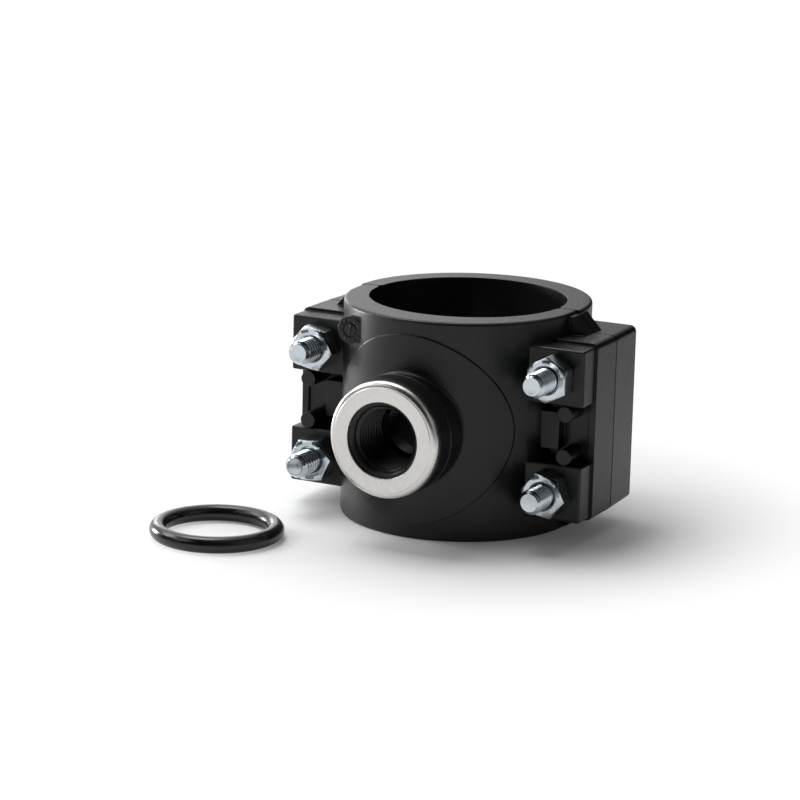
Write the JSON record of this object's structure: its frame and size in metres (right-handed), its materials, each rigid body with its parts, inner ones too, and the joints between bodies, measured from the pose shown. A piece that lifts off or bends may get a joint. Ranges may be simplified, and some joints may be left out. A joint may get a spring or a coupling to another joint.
{
  "type": "tapping saddle",
  "caption": "Two-piece plastic clamp saddle for a pipe, with a female threaded branch, steel ring, bolted ears and a loose O-ring.",
  "frame": {"origin": "on the axis of the pipe bore, at the saddle's lower rim", "axes": "+Z along the pipe bore, -Y along the threaded branch towards its mouth, X across the bolted ears"},
  "size_m": [0.1237, 0.1333, 0.07],
  "materials": {
    "black_plastic": "satin moulded",
    "stainless": "turned",
    "zinc": "bright zinc plated",
    "rubber": "glossy"
  },
  "bodies": {
    "saddle": {"branch_half": "black_plastic", "steel_ring": "stainless", "oring": "rubber"},
    "clamp_back": {"lower_half": "black_plastic", "bolt_1": "zinc", "bolt_2": "zinc", "bolt_3": "zinc", "bolt_4": "zinc"},
    "nut_body_1": {"nut_1": "zinc"},
    "nut_body_2": {"nut_2": "zinc"},
    "nut_body_3": {"nut_3": "zinc"},
    "nut_body_4": {"nut_4": "zinc"}
  },
  "joints": [
    {"name": "nut_turn_1", "type": "hinge", "parent": "saddle", "child": "nut_body_1", "pos_m": [0.04115, -0.0233, 0.05345], "axis": [0, -1, 0], "range_deg": [0, 2520.5]},
    {"name": "nut_turn_2", "type": "hinge", "parent": "saddle", "child": "nut_body_2", "pos_m": [0.04115, -0.0233, 0.01655], "axis": [0, -1, 0], "range_deg": [0, 2520.5]},
    {"name": "nut_turn_3", "type": "hinge", "parent": "saddle", "child": "nut_body_3", "pos_m": [-0.04115, -0.0233, 0.05345], "axis": [0, -1, 0], "range_deg": [0, 2520.5]},
    {"name": "nut_turn_4", "type": "hinge", "parent": "saddle", "child": "nut_body_4", "pos_m": [-0.04115, -0.0233, 0.01655], "axis": [0, -1, 0], "range_deg": [0, 2520.5]},
    {"name": "clamp_opening", "type": "slide", "parent": "saddle", "child": "clamp_back", "axis": [0, 1, 0], "range_m": [0, 0.00875]}
  ],
  "couplings": [
    {"joint": "nut_turn_1", "follows": "clamp_opening", "rad_per_m": 5026.5},
    {"joint": "nut_turn_2", "follows": "clamp_opening", "rad_per_m": 5026.5},
    {"joint": "nut_turn_3", "follows": "clamp_opening", "rad_per_m": 5026.5},
    {"joint": "nut_turn_4", "follows": "clamp_opening", "rad_per_m": 5026.5}
  ]
}
